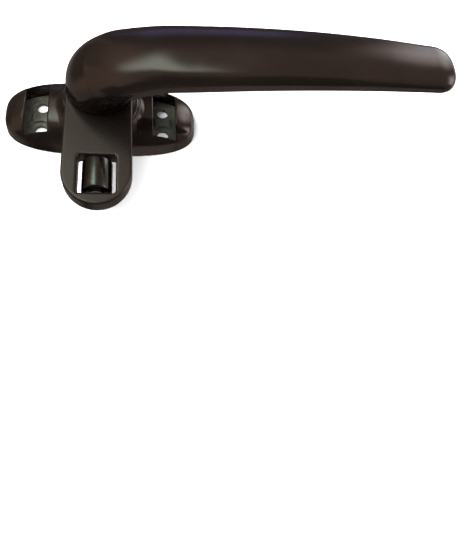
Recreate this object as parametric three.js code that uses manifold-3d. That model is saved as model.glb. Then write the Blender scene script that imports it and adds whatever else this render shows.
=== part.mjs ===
// Window handle with a roller latch tongue.
//
// Millimetres, +Z up. The XY plane is the face of the sash, the origin is on the pivot axis,
// and +Z points away from the sash. At rest the lever points along +X and the tongue along -Y.
// The lever, spindle and tongue turn together about +Z; the roller turns about its own pin.

import * as THREE from 'three';
import { ParametricGeometry } from 'three/addons/geometries/ParametricGeometry.js';
import { mergeVertices } from 'three/addons/utils/BufferGeometryUtils.js';
import Module from 'manifold-3d';

// ---------------------------------------------------------------- driving dimensions

// Base cover: a domed shell with a near-vertical skirt and a round collar.
const BASE_HALF_LENGTH = 36.8;
const BASE_HALF_WIDTH = 15.5;
const BASE_PLAN_POWER = 2.9;      // superellipse power of the plan outline
const SKIRT_HEIGHT = 3.4;
const SKIRT_DRAFT = 0.99;         // plan scale at the top of the skirt
const DOME_HEIGHT = 11.3;
const DOME_POWER = 2.7;           // fullness of the dome from the centre to the skirt
const WALL = 2.2;
const COLLAR_RADIUS = 13.9;
const COLLAR_TOP = 13.7;
const COLLAR_BORE = 6.0;
const COLLAR_EDGE = 0.5;
const COLLAR_FILLET = [            // how far the collar's foot spreads, and at what height
  [-0.1, 2.5],
  [0.2, 9.0],
  [0.7, 10.8],
  [0, 12.6],
];
const HOLLOW_TOP = 9.1;
const SPRING_POCKET_RADIUS = 9.0;
const WINDOW_BOTTOM = 2.6;
const WINDOW_X = [19.7, 28.5];    // screw windows, measured from the pivot
const WINDOW_HALF_WIDTH = 11.0;

// Mounting plate.
const PLATE_CLEARANCE = 0.3;
const PLATE_THICKNESS = 2.0;
const PLATE_BORE = 9.0;
const LAND_HEIGHT = 0.5;          // raised land between the two screw seats of a window
const LAND_HALF_LENGTH = 3.4;
const LAND_HALF_WIDTH = 2.2;
const SCREW_HOLE_RADIUS = 2.2;
const SCREW_SEAT_RADIUS = 3.9;
const SCREW_SEAT_DEPTH = 0.45;
const SCREW_HOLE_X = 23.6;
const SCREW_HOLE_Y = 5.45;

// Two countersunk screws that hold the plate in the cover, from behind.
const COVER_SCREW_X = 13.6;
const COVER_SCREW_RADIUS = 1.25;
const COVER_SCREW_HEAD_RADIUS = 2.3;
const COVER_SCREW_HEAD_Z = [0.15, 1.35];
const COVER_SCREW_LENGTH = 8.2;
const COVER_SCREW_POINT = [0.5, 0.6];        // taper of the point: radius and length
const CROSS_RECESS = [1.3, 0.25, 0.9];       // half length, half width and depth
const SCREW_BOSS_RADIUS = 3.1;
const SCREW_BOSS_BOTTOM = 2.3;
const SCREW_CLEARANCE = 0.1;

// Latch tongue.
const TONGUE_BACK = 14.3;
const TONGUE_FACE = 19.2;
const TONGUE_HALF_WIDTH = 12.0;
const TONGUE_END_Y = -34.6;       // where the sides run into the round end
const TONGUE_END_REACH = 13.6;    // length of the round end, a half ellipse
const HUB_RADIUS = 13.1;
const HUB_SHOULDER = [0.4, 1.6];  // heights above the back where the hub's wall starts and stops
const HUB_TAPER = [1.1, 1.6];     // how far the hub's wall leans in at its top edge and at the face
const TONGUE_EDGE = 0.6;          // edge rounding
const ROLLER_WINDOW_HALF_WIDTH = 6.5;
const ROLLER_WINDOW_Y = [-43.7, -28.5];
const ROLLER_WINDOW_CORNER = 1.0;

// Roller and its pin.
const ROLLER_RADIUS = 5.2;
const ROLLER_LENGTH = 12.6;
const ROLLER_Z = 15.9;
const ROLLER_Y = -36.2;
const ROLLER_EDGE = 0.8;
const ROLLER_PIN_RADIUS = 1.1;
const ROLLER_PIN_LENGTH = 21.0;
const ROLLER_PIN_EDGE = 0.3;
const ROLLER_WASHER_RADIUS = 2.6;
const ROLLER_WASHER_THICKNESS = 0.5;
const ROLLER_WASHER_GAP = 0.25;

// Spindle, bush, washers and springs on the pivot axis.
const SQUARE = 8.0;
const SQUARE_CORNER = 0.6;
const SQUARE_TOP = 31.0;
const SQUARE_PLAY = 0.1;
const RUNNING_PLAY = 0.15;        // between a turning piece and what it turns in
const JOURNAL_RADIUS = 3.95;
const SPINDLE_END = 3.6;
const GROOVE_RADIUS = 3.2;
const GROOVE_Z = [4.4, 5.5];
const BUSH_BORE = 4.15;
const BUSH_RADIUS = 5.85;
const FRICTION_WASHER_Z = [13.8, 14.2];
const FRICTION_WASHER_RADII = [6.2, 12.9];
const THRUST_WASHER_Z = [8.0, 9.0];
const THRUST_WASHER_RADIUS = 8.2;
const RETAINING_RING_RADIUS = 5.6;
const RING_LUG = { x: 2.0, y: 6.2, radius: 1.3, hole: 0.5 };
const RING_HALF_GAP = 0.7;
const SPRING_PACK_RADIUS = 7.6;
const SPRING_RISE = 0.55;
const SPRING_SHEET = 0.45;
const STOP_PIN_RADIUS = 1.2;
const STOP_PIN_BOTTOM = 10;
const STOP_GROOVE_DEPTH = 1.9;
const STOP_PIN_CIRCLE = 9.7;
const STOP_PIN_ANGLE = 135;       // degrees from +X
const TURN_RANGE = 90;            // degrees of lever travel

// Lever. Its centre line leaves the tongue along +Z and bends over to +X. Each neck station is
// [x, y, z, half width, half thickness, superellipse power].
const NECK_BOTTOM = 19.4;
const NECK_STATIONS = [
  [0, 0, NECK_BOTTOM, 12.0, 12.0, 2.0],
  [0.45, 0, 24.4, 12.75, 11.2, 2.05],
  [3.75, -1.2, 29.75, 13.1, 9.4, 2.2],
  [9.9, -2.7, 34.8, 14.3, 6.3, 2.35],
];
const UPRIGHT_STATIONS = 1;       // the sections turn from upright to square over this many stations
const GRIP_START = 22;
const GRIP_DATUM = 20;            // x and length that the grip's curves are written for
const GRIP_LENGTH = 108.6;
const GRIP_PLACES = [0, 0.13, 0.29, 0.46, 0.64, 0.82, 1];
const GRIP_TIP = 127.4;
const TIP_LENGTH = 9;
const TIP_POWER = 2.7;
const GRIP_POWER = 2.3;
const SET_SCREW_Z = 25.5;
const SET_SCREW_RADIUS = 2.5;
const SET_SCREW_LENGTH = 6.0;
const SET_SCREW_POINT = 0.8;
const SET_SCREW_SOCKET = [1.45, 3.0];        // corner radius and depth

// Sides of a round piece, and how far a cutting tool runs past what it cuts.
const ROUND = 24;
const ROUND_LARGE = 40;
const PAST = 1;

// ---------------------------------------------------------------- finishes

const bronze = { color: 0x3d332d, roughness: 0.42, metalness: 0.55 };
const zinc = { color: 0xa3a49c, roughness: 0.5, metalness: 0.8 };
const steel = { color: 0xb4b6ba, roughness: 0.35, metalness: 1.0 };
const blackSteel = { color: 0x2a2725, roughness: 0.38, metalness: 0.8 };
const springSteel = { color: 0x7d7f84, roughness: 0.35, metalness: 1.0 };
const acetal = { color: 0x26272a, roughness: 0.5, metalness: 0.0 };

// ---------------------------------------------------------------- solids

const wasm = await Module();
wasm.setup();

// Turns a closed geometry into a solid: shared vertices merged, collapsed triangles dropped.
function solid(geometry) {
  const bare = geometry.clone();
  for (const name of Object.keys(bare.attributes)) {
    if (name !== 'position') bare.deleteAttribute(name);
  }
  const merged = mergeVertices(bare, 1e-5);
  const index = merged.index.array;
  const triangles = [];
  for (let i = 0; i < index.length; i += 3) {
    const [a, b, c] = [index[i], index[i + 1], index[i + 2]];
    if (a !== b && b !== c && c !== a) triangles.push(a, b, c);
  }
  if (signedVolume(merged.attributes.position.array, triangles) < 0) triangles.reverse();
  return new wasm.Manifold(new wasm.Mesh({
    numProp: 3,
    vertProperties: new Float32Array(merged.attributes.position.array),
    triVerts: new Uint32Array(triangles),
  }));
}

function signedVolume(points, triangles) {
  const at = (i) => new THREE.Vector3(points[3 * i], points[3 * i + 1], points[3 * i + 2]);
  let sum = 0;
  for (let i = 0; i < triangles.length; i += 3) {
    const [a, b, c] = [at(triangles[i]), at(triangles[i + 1]), at(triangles[i + 2])];
    sum += a.dot(b.cross(c));
  }
  return sum;
}

const join = (first, ...others) => others.reduce((body, other) => body.add(other), first);
const cut = (body, ...tools) => tools.reduce((rest, tool) => rest.subtract(tool), body);

function piece(name, body, finish) {
  const { vertProperties, triVerts } = body.getMesh();
  const geometry = new THREE.BufferGeometry();
  geometry.setAttribute('position', new THREE.BufferAttribute(vertProperties, 3));
  geometry.setIndex(new THREE.BufferAttribute(triVerts, 1));
  geometry.computeVertexNormals();
  const mesh = new THREE.Mesh(geometry, new THREE.MeshStandardMaterial(finish));
  mesh.name = name;
  return mesh;
}

// A solid turned about the Z axis from closed [radius, height] corners.
function turned(corners, sides = ROUND) {
  const points = [...corners, corners[0]].map(([r, z]) => new THREE.Vector2(r, z));
  return solid(new THREE.LatheGeometry(points, sides).rotateX(Math.PI / 2));
}

function disc(radius, low, high, sides = ROUND) {
  return turned([[0, low], [radius, low], [radius, high], [0, high]], sides);
}

function ring(inner, outer, low, high) {
  return turned([[inner, low], [outer, low], [outer, high], [inner, high]]);
}

function box(low, high) {
  const size = high.map((value, i) => value - low[i]);
  const geometry = new THREE.BoxGeometry(...size);
  geometry.translate(...high.map((value, i) => (value + low[i]) / 2));
  return solid(geometry);
}

// A shape in the XY plane raised from low to high, with an optional chamfer on both faces.
function plate(shape, low, high, edge = 0, curveSegments = 12) {
  const geometry = new THREE.ExtrudeGeometry(shape, {
    depth: high - low - 2 * edge,
    bevelEnabled: edge > 0,
    bevelThickness: edge,
    bevelSize: edge,
    bevelOffset: -edge,
    bevelSegments: 2,
    curveSegments,
  });
  geometry.translate(0, 0, low + edge);
  return solid(geometry);
}

function roundedRectangle(left, right, bottom, top, corner) {
  const shape = new THREE.Shape();
  shape.moveTo(left + corner, bottom);
  shape.lineTo(right - corner, bottom);
  shape.absarc(right - corner, bottom + corner, corner, -Math.PI / 2, 0);
  shape.lineTo(right, top - corner);
  shape.absarc(right - corner, top - corner, corner, 0, Math.PI / 2);
  shape.lineTo(left + corner, top);
  shape.absarc(left + corner, top - corner, corner, Math.PI / 2, Math.PI);
  shape.lineTo(left, bottom + corner);
  shape.absarc(left + corner, bottom + corner, corner, Math.PI, 1.5 * Math.PI);
  return shape;
}

// Position on a superellipse of half sizes 1 x 1.
function superellipse(angle, power) {
  const [c, s] = [Math.cos(angle), Math.sin(angle)];
  const bend = (value) => Math.sign(value) * Math.abs(value) ** (2 / power);
  return [bend(c), bend(s)];
}

// A closed skin through a list of rings, each a function of the angle round it.
function skin(rings, sides) {
  const place = (u, v, target) => {
    const row = rings[Math.round(v * (rings.length - 1))];
    row((u % 1) * 2 * Math.PI, target);
  };
  return solid(new ParametricGeometry(place, sides, rings.length - 1));
}

// ---------------------------------------------------------------- base cover and plate

// Domed block on the sash plane. Inset moves the outer walls inwards; the top is at the crown.
function domeBlock(inset, bottom, crown, sides = 60, steps = 7) {
  const halfLength = BASE_HALF_LENGTH - inset;
  const halfWidth = BASE_HALF_WIDTH - inset;
  const ringAt = (scale, z) => (angle, target) => {
    const [x, y] = superellipse(angle, BASE_PLAN_POWER);
    target.set(halfLength * scale * x, halfWidth * scale * y, z);
  };
  const rings = [ringAt(0, bottom), ringAt(1, bottom), ringAt(SKIRT_DRAFT, SKIRT_HEIGHT)];
  for (let step = 1; step < steps; step += 1) {
    const angle = (step / steps) * (Math.PI / 2);
    const scale = SKIRT_DRAFT * Math.cos(angle) ** (2 / DOME_POWER);
    rings.push(ringAt(scale, SKIRT_HEIGHT + (crown - SKIRT_HEIGHT) * Math.sin(angle)));
  }
  rings.push(ringAt(0, crown));
  return skin(rings, sides);
}

const polar = (radius, degrees) => {
  const angle = THREE.MathUtils.degToRad(degrees);
  return [radius * Math.cos(angle), radius * Math.sin(angle)];
};

const stopPinAt = polar(STOP_PIN_CIRCLE, STOP_PIN_ANGLE);

// Round tool that starts below the base and stops at a height, at a place on the X axis.
const bore = (radius, top, x = 0, y = 0) => disc(radius, -PAST, top).translate(x, y, 0);

// Everything within the base's plan from one height up to another.
function slice(low, high) {
  const [x, y] = [BASE_HALF_LENGTH + PAST, BASE_HALF_WIDTH + PAST];
  return box([-x, -y, low], [x, y, high]);
}

function baseCover() {
  const above = COLLAR_TOP + PAST;
  const collar = turned([
    [0, COLLAR_FILLET[0][1]],
    ...COLLAR_FILLET.map(([spread, height]) => [COLLAR_RADIUS + spread, height]),
    [COLLAR_RADIUS, COLLAR_TOP - COLLAR_EDGE],
    [COLLAR_RADIUS - COLLAR_EDGE, COLLAR_TOP],
    [0, COLLAR_TOP],
  ], ROUND_LARGE);
  const boss = disc(SCREW_BOSS_RADIUS, SCREW_BOSS_BOTTOM, HOLLOW_TOP + PAST);
  const bosses = [-1, 1].map((side) => boss.translate(side * COVER_SCREW_X, 0, 0));
  const hollow = cut(domeBlock(WALL, -PAST, DOME_HEIGHT - WALL), slice(HOLLOW_TOP, above), ...bosses);
  let cover = join(domeBlock(0, 0, DOME_HEIGHT), collar);
  cover = cut(cover, hollow, bore(SPRING_POCKET_RADIUS, HOLLOW_TOP), bore(COLLAR_BORE, above));
  for (const side of [-1, 1]) {
    const [near, far] = side > 0 ? WINDOW_X : [-WINDOW_X[1], -WINDOW_X[0]];
    const window = box([near, -WINDOW_HALF_WIDTH, WINDOW_BOTTOM], [far, WINDOW_HALF_WIDTH, above]);
    const thread = bore(COVER_SCREW_RADIUS + SCREW_CLEARANCE, COVER_SCREW_LENGTH + 0.4, side * COVER_SCREW_X);
    cover = cut(cover, window, thread);
  }
  const pinHole = disc(STOP_PIN_RADIUS + 0.1, STOP_PIN_BOTTOM - 0.1, above);
  return cut(cover, pinHole.translate(...stopPinAt, 0));
}

// Cast plate behind the windows: four screw holes with round seats and a raised land between.
function mountingPlate() {
  const above = PLATE_THICKNESS + LAND_HEIGHT + PAST;
  let body = cut(
    domeBlock(WALL + PLATE_CLEARANCE, -PAST, DOME_HEIGHT - WALL - PAST),
    slice(PLATE_THICKNESS, DOME_HEIGHT),
    slice(-2 * PAST, 0),
  );
  const countersink = turned([
    [0, -PAST],
    [COVER_SCREW_HEAD_RADIUS + PAST, -PAST],
    [COVER_SCREW_RADIUS + 2 * SCREW_CLEARANCE, COVER_SCREW_HEAD_Z[1]],
    [COVER_SCREW_RADIUS + 2 * SCREW_CLEARANCE, above],
    [0, above],
  ]);
  for (const side of [-1, 1]) {
    const x = side * SCREW_HOLE_X;
    body = join(body, box(
      [x - LAND_HALF_LENGTH, -LAND_HALF_WIDTH, PLATE_THICKNESS / 2],
      [x + LAND_HALF_LENGTH, LAND_HALF_WIDTH, PLATE_THICKNESS + LAND_HEIGHT],
    ));
    for (const y of [-SCREW_HOLE_Y, SCREW_HOLE_Y]) {
      const seat = disc(SCREW_SEAT_RADIUS, PLATE_THICKNESS - SCREW_SEAT_DEPTH, above);
      body = cut(body, bore(SCREW_HOLE_RADIUS, above, x, y), seat.translate(x, y, 0));
    }
    body = cut(body, countersink.translate(side * COVER_SCREW_X, 0, 0));
  }
  return cut(body, bore(PLATE_BORE, above));
}

// Countersunk screw with a cross recess, its head just inside the back of the plate.
function plateScrew(side) {
  const [headLow, headHigh] = COVER_SCREW_HEAD_Z;
  const [pointRadius, pointLength] = COVER_SCREW_POINT;
  const [reach, half, depth] = CROSS_RECESS;
  const body = turned([
    [0, headLow],
    [COVER_SCREW_HEAD_RADIUS, headLow],
    [COVER_SCREW_RADIUS, headHigh],
    [COVER_SCREW_RADIUS, COVER_SCREW_LENGTH - pointLength],
    [COVER_SCREW_RADIUS - pointRadius, COVER_SCREW_LENGTH],
    [0, COVER_SCREW_LENGTH],
  ]);
  const slots = [
    box([-reach, -half, 0], [reach, half, depth]),
    box([-half, -reach, 0], [half, reach, depth]),
  ];
  return cut(body, ...slots).translate(side * COVER_SCREW_X, 0, 0);
}

// ---------------------------------------------------------------- pivot stack

function spindle() {
  const half = SQUARE / 2;
  const outline = roundedRectangle(-half, half, -half, half, SQUARE_CORNER);
  const square = plate(outline, TONGUE_BACK + SQUARE_PLAY, SQUARE_TOP, 0, 3);
  const journal = turned([
    [0, SPINDLE_END],
    [JOURNAL_RADIUS - 0.5, SPINDLE_END],
    [JOURNAL_RADIUS, SPINDLE_END + 0.5],
    [JOURNAL_RADIUS, GROOVE_Z[0]],
    [GROOVE_RADIUS, GROOVE_Z[0]],
    [GROOVE_RADIUS, GROOVE_Z[1]],
    [JOURNAL_RADIUS, GROOVE_Z[1]],
    [JOURNAL_RADIUS, TONGUE_BACK + PAST],
    [0, TONGUE_BACK + PAST],
  ]);
  return join(square, journal);
}

const squareHole = (low, high) => {
  const half = SQUARE / 2 + SQUARE_PLAY;
  return plate(roundedRectangle(-half, half, -half, half, SQUARE_CORNER - SQUARE_PLAY), low, high, 0, 3);
};

function frictionWasher() {
  const washer = ring(...FRICTION_WASHER_RADII, ...FRICTION_WASHER_Z);
  const pinHole = disc(STOP_PIN_RADIUS + RUNNING_PLAY, STOP_PIN_BOTTOM, TONGUE_FACE);
  return cut(washer, pinHole.translate(...stopPinAt, 0));
}

// Conical spring washer; lift is positive when the inner edge is the higher one.
function discSpring(bottom, lift) {
  const inner = JOURNAL_RADIUS + 0.35;
  const [innerLow, outerLow] = lift > 0 ? [bottom + lift, bottom] : [bottom, bottom - lift];
  return turned([
    [inner, innerLow],
    [SPRING_PACK_RADIUS, outerLow],
    [SPRING_PACK_RADIUS, outerLow + SPRING_SHEET],
    [inner, innerLow + SPRING_SHEET],
  ]);
}

// Open snap ring with two lugs beside its gap.
function retainingRing() {
  const [low, high] = [GROOVE_Z[0] + 0.1, GROOVE_Z[1] - 0.1];
  const { x, y, radius, hole } = RING_LUG;
  const lugs = [-x, x].map((place) => disc(radius, low, high).translate(place, y, 0));
  const holes = [-x, x].map((place) => disc(hole, low - PAST, high + PAST, 12).translate(place, y, 0));
  const gap = box([-RING_HALF_GAP, 0, low - PAST], [RING_HALF_GAP, y + radius + PAST, high + PAST]);
  return cut(join(ring(GROOVE_RADIUS + 0.1, RETAINING_RING_RADIUS, low, high), ...lugs), gap, ...holes);
}

// ---------------------------------------------------------------- tongue and roller

function latchTongue() {
  const outline = new THREE.Shape();
  outline.moveTo(-TONGUE_HALF_WIDTH, 0);
  outline.lineTo(-TONGUE_HALF_WIDTH, TONGUE_END_Y);
  outline.absellipse(0, TONGUE_END_Y, TONGUE_HALF_WIDTH, TONGUE_END_REACH, Math.PI, 2 * Math.PI);
  outline.lineTo(TONGUE_HALF_WIDTH, 0);
  const nose = plate(outline, TONGUE_BACK, TONGUE_FACE, TONGUE_EDGE, 24);
  const [edge, shoulder] = HUB_SHOULDER;
  const hub = turned([
    [0, TONGUE_BACK],
    [HUB_RADIUS - edge, TONGUE_BACK],
    [HUB_RADIUS, TONGUE_BACK + edge],
    [HUB_RADIUS, TONGUE_BACK + shoulder],
    [HUB_RADIUS - HUB_TAPER[0], TONGUE_FACE - TONGUE_EDGE],
    [HUB_RADIUS - HUB_TAPER[1], TONGUE_FACE],
    [0, TONGUE_FACE],
  ], ROUND_LARGE);
  const window = roundedRectangle(
    -ROLLER_WINDOW_HALF_WIDTH, ROLLER_WINDOW_HALF_WIDTH, ...ROLLER_WINDOW_Y, ROLLER_WINDOW_CORNER,
  );
  const halfPin = ROLLER_PIN_LENGTH / 2 + 0.1;
  return cut(
    join(nose, hub),
    plate(window, TONGUE_BACK - PAST, TONGUE_FACE + PAST, 0, 6),
    squareHole(TONGUE_BACK - PAST, TONGUE_FACE + PAST),
    stopGroove(),
    onRollerAxis(disc(ROLLER_PIN_RADIUS + 0.1, -halfPin, halfPin)),
  );
}

// Arc groove in the back of the hub, as long as the lever's travel, for the stop pin.
function stopGroove() {
  const half = STOP_PIN_RADIUS + 0.25;
  const play = THREE.MathUtils.radToDeg(half / STOP_PIN_CIRCLE);
  const start = THREE.MathUtils.degToRad(STOP_PIN_ANGLE - TURN_RANGE - play);
  const end = THREE.MathUtils.degToRad(STOP_PIN_ANGLE + play);
  const shape = new THREE.Shape();
  shape.absarc(0, 0, STOP_PIN_CIRCLE + half, start, end, false);
  shape.absarc(0, 0, STOP_PIN_CIRCLE - half, end, start, true);
  return plate(shape, TONGUE_BACK - PAST, TONGUE_BACK + STOP_GROOVE_DEPTH, 0, 20);
}

// Pieces of the roller are turned about Z, then laid along Y at the roller's centre.
function onRollerAxis(body, shift = 0) {
  return body.rotate([-90, 0, 0]).translate(0, ROLLER_Y + shift, ROLLER_Z);
}

function roller() {
  const half = ROLLER_LENGTH / 2;
  const inner = ROLLER_PIN_RADIUS + RUNNING_PLAY;
  const softEdge = (side) => [
    [ROLLER_RADIUS, side * (half - ROLLER_EDGE)],
    [ROLLER_RADIUS - 0.3 * ROLLER_EDGE, side * (half - 0.3 * ROLLER_EDGE)],
    [ROLLER_RADIUS - ROLLER_EDGE, side * half],
  ];
  return onRollerAxis(turned([[inner, -half], ...softEdge(-1).reverse(), ...softEdge(1), [inner, half]]));
}

function rollerPin() {
  const half = ROLLER_PIN_LENGTH / 2;
  return onRollerAxis(turned([
    [0, -half],
    [ROLLER_PIN_RADIUS - ROLLER_PIN_EDGE, -half],
    [ROLLER_PIN_RADIUS, -half + ROLLER_PIN_EDGE],
    [ROLLER_PIN_RADIUS, half - ROLLER_PIN_EDGE],
    [ROLLER_PIN_RADIUS - ROLLER_PIN_EDGE, half],
    [0, half],
  ]));
}

function rollerWasher(side) {
  const half = ROLLER_WASHER_THICKNESS / 2;
  const washer = ring(ROLLER_PIN_RADIUS + RUNNING_PLAY, ROLLER_WASHER_RADIUS, -half, half);
  return onRollerAxis(washer, side * (ROLLER_LENGTH / 2 + half + ROLLER_WASHER_GAP));
}

// ---------------------------------------------------------------- lever

// Centre, half width, half thickness and section power along the grip.
function gripStation(x) {
  const along = (x - GRIP_DATUM) / GRIP_LENGTH;
  const halfWidth = 13.72 - 1.52 * along - 2.51 * along ** 2;
  return [
    x,
    -3.1 - 2.65 * along + 0.6 * along ** 2,
    38.5 + 15.8 * along - 9.8 * along ** 2,
    halfWidth,
    halfWidth * (0.4 - 0.04 * along),
    GRIP_POWER,
  ];
}

// Smooth curve through columns of a station table.
function smooth(stations, columns) {
  const points = stations.map((row) => new THREE.Vector3(...columns.map((i) => row[i])));
  return new THREE.CatmullRomCurve3(points, false, 'catmullrom', 0.5);
}

function leverBlock(sides = 28, steps = 32) {
  const gripEnd = GRIP_TIP - TIP_LENGTH;
  const gripStations = GRIP_PLACES.map((t) => gripStation(GRIP_START + t * (gripEnd - GRIP_START)));
  const stations = [...NECK_STATIONS, ...gripStations];
  const centreLine = smooth(stations, [0, 1, 2]);
  const section = smooth(stations, [3, 4, 5]);
  const sideways = new THREE.Vector3(0, 1, 0);
  const vertical = new THREE.Vector3(0, 0, 1);

  const ringAt = (centre, direction, halfWidth, halfThickness, power) => {
    const up = new THREE.Vector3().crossVectors(direction, sideways).normalize();
    const across = new THREE.Vector3().crossVectors(up, direction).normalize();
    return (angle, target) => {
      const [a, b] = superellipse(angle, power);
      target.copy(centre).addScaledVector(across, a * halfWidth).addScaledVector(up, b * halfThickness);
    };
  };

  const rings = [];
  for (let step = 0; step <= steps; step += 1) {
    const t = step / steps;
    const centre = centreLine.getPoint(t);
    const upright = Math.max(0, 1 - (t * (stations.length - 1)) / UPRIGHT_STATIONS);
    const direction = centreLine.getTangent(t).lerp(vertical, upright).normalize();
    const { x: halfWidth, y: halfThickness, z: power } = section.getPoint(t);
    if (step === 0) rings.push(ringAt(centre, direction, 0, 0, power));
    rings.push(ringAt(centre, direction, halfWidth, halfThickness, power));
  }

  // Round end: the last section shrinks along a superellipse.
  const end = centreLine.getPoint(1);
  const direction = centreLine.getTangent(1);
  const { x: endWidth, y: endThickness, z: endPower } = section.getPoint(1);
  const tipSteps = 6;
  for (let step = 1; step <= tipSteps; step += 1) {
    const [scale, reach] = superellipse((step / tipSteps) * (Math.PI / 2), TIP_POWER);
    const size = step === tipSteps ? 0 : scale;
    const centre = end.clone().addScaledVector(direction, TIP_LENGTH * reach);
    rings.push(ringAt(centre, direction, endWidth * size, endThickness * size, endPower));
  }
  return skin(rings, sides);
}

// The set screw lies along +X, under the grip, with its point on the square.
const onSetScrewAxis = (body) => body.rotate([0, 90, 0]).translate(0, 0, SET_SCREW_Z);

function lever() {
  return cut(
    leverBlock(),
    squareHole(NECK_BOTTOM - PAST, SQUARE_TOP + 0.3),
    onSetScrewAxis(disc(SET_SCREW_RADIUS + SCREW_CLEARANCE, SQUARE / 2, 2.5 * SQUARE)),
  );
}

function setScrew() {
  const start = SQUARE / 2 + RUNNING_PLAY;
  const end = start + SET_SCREW_LENGTH;
  const [socketRadius, socketDepth] = SET_SCREW_SOCKET;
  const body = turned([
    [0, start],
    [SET_SCREW_RADIUS - SET_SCREW_POINT, start],
    [SET_SCREW_RADIUS, start + SET_SCREW_POINT],
    [SET_SCREW_RADIUS, end - 0.3],
    [SET_SCREW_RADIUS - 0.3, end],
    [0, end],
  ]);
  const socket = disc(socketRadius, end - socketDepth, end + PAST, 6);
  return onSetScrewAxis(cut(body, socket));
}

// ---------------------------------------------------------------- assembly

const springPackTop = THRUST_WASHER_Z[0] - 0.1;
const springPitch = SPRING_RISE + SPRING_SHEET;
const stopPinTop = TONGUE_BACK + STOP_GROOVE_DEPTH - 0.3;
const thrustWasher = ring(JOURNAL_RADIUS + RUNNING_PLAY, THRUST_WASHER_RADIUS, ...THRUST_WASHER_Z);

const base = new THREE.Group();
base.add(
  piece('base_cover', baseCover(), bronze),
  piece('mounting_plate', mountingPlate(), zinc),
  piece('plate_screw_1', plateScrew(-1), steel),
  piece('plate_screw_2', plateScrew(1), steel),
  piece('pivot_bush', ring(BUSH_BORE, BUSH_RADIUS, HOLLOW_TOP + 0.1, COLLAR_TOP - 0.05), acetal),
  piece('friction_washer', frictionWasher(), acetal),
  piece('stop_pin', disc(STOP_PIN_RADIUS, STOP_PIN_BOTTOM, stopPinTop).translate(...stopPinAt, 0), steel),
);

const turning = new THREE.Group();
turning.add(
  piece('lever', lever(), bronze),
  piece('lever_set_screw', setScrew(), blackSteel),
  piece('latch_tongue', latchTongue(), bronze),
  piece('spindle', spindle(), steel),
  piece('thrust_washer', thrustWasher, steel),
  piece('disc_spring_1', discSpring(springPackTop - springPitch, -SPRING_RISE), springSteel),
  piece('disc_spring_2', discSpring(springPackTop - 2 * springPitch - 0.1, SPRING_RISE), springSteel),
  piece('retaining_ring', retainingRing(), springSteel),
  piece('roller_pin', rollerPin(), steel),
  piece('roller_washer_1', rollerWasher(-1), acetal),
  piece('roller_washer_2', rollerWasher(1), acetal),
);

const rolling = new THREE.Group();
rolling.add(piece('roller', roller(), blackSteel));

const handle = new THREE.Group();
handle.add(base, turning, rolling);

export default handle;
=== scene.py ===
import math

import bpy
import numpy as np
from mathutils import Matrix, Vector


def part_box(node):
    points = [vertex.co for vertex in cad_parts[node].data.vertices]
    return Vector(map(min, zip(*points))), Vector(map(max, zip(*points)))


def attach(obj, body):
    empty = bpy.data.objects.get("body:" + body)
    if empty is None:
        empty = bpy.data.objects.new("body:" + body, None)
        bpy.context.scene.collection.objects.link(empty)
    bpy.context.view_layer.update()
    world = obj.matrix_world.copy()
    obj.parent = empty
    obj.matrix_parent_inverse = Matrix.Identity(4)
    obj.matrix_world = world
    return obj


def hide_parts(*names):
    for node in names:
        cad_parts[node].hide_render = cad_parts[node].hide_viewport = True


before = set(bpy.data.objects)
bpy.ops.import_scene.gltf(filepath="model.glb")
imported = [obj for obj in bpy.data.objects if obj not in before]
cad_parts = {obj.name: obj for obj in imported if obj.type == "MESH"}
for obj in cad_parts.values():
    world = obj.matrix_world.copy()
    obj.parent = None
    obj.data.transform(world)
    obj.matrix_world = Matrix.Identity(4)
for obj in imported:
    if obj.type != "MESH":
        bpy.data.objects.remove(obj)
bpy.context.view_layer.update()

# Shapes are worked out in millimetres in the frame's axes, and scaled to metres when a mesh is made.
MM = 0.001
SLOPE_STEP = 0.02
RELAX_ROUNDS, SETTLE_ROUNDS = 4, 2
ARC_STEPS = 4  # segments in the small arc that rounds a turned corner
STRAIGHT = math.radians(86)  # half angle above which a corner needs no arc


def box_mm(node):
    """Lowest and highest corner of a CAD node, in millimetres."""
    low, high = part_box(node)
    return low / MM, high / MM


# ---------------------------------------------------------------- signed distances
# Every field below takes coordinate arrays and gives a distance, negative inside the piece.


def union_round(a, b, radius):
    """Both shapes, with a concave fillet where they meet."""
    u, v = np.maximum(radius - a, 0), np.maximum(radius - b, 0)
    return np.maximum(radius, np.minimum(a, b)) - np.hypot(u, v)


def both_round(a, b, radius):
    """What the shapes share, with its new edges rounded."""
    u, v = np.maximum(radius + a, 0), np.maximum(radius + b, 0)
    return np.minimum(-radius, np.maximum(a, b)) + np.hypot(u, v)


def cut_round(a, tool, radius):
    return both_round(a, -tool, radius)


def disc(x, y, radius):
    return np.hypot(x, y) - radius


def slab(value, low, high):
    return np.maximum(low - value, value - high)


def rectangle(x, y, low, high, corner=0.0):
    """Rectangle from its low to its high corner, with round corners."""
    cx, cy = (low[0] + high[0]) / 2, (low[1] + high[1]) / 2
    qx = np.abs(x - cx) - (high[0] - low[0]) / 2 + corner
    qy = np.abs(y - cy) - (high[1] - low[1]) / 2 + corner
    outside = np.hypot(np.maximum(qx, 0), np.maximum(qy, 0))
    return outside + np.minimum(np.maximum(qx, qy), 0) - corner


def as_distance(implicit):
    """Turns an implicit function into a near-surface distance by its own slope."""

    def field(x, y, z):
        step = SLOPE_STEP
        value = implicit(x, y, z)
        dx = (implicit(x + step, y, z) - implicit(x - step, y, z)) / (2 * step)
        dy = (implicit(x, y + step, z) - implicit(x, y - step, z)) / (2 * step)
        dz = (implicit(x, y, z + step) - implicit(x, y, z - step)) / (2 * step)
        slope = np.sqrt(dx**2 + dy**2 + dz**2)
        return value / np.maximum(slope, 0.02)

    return field


# ---------------------------------------------------------------- meshes


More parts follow.
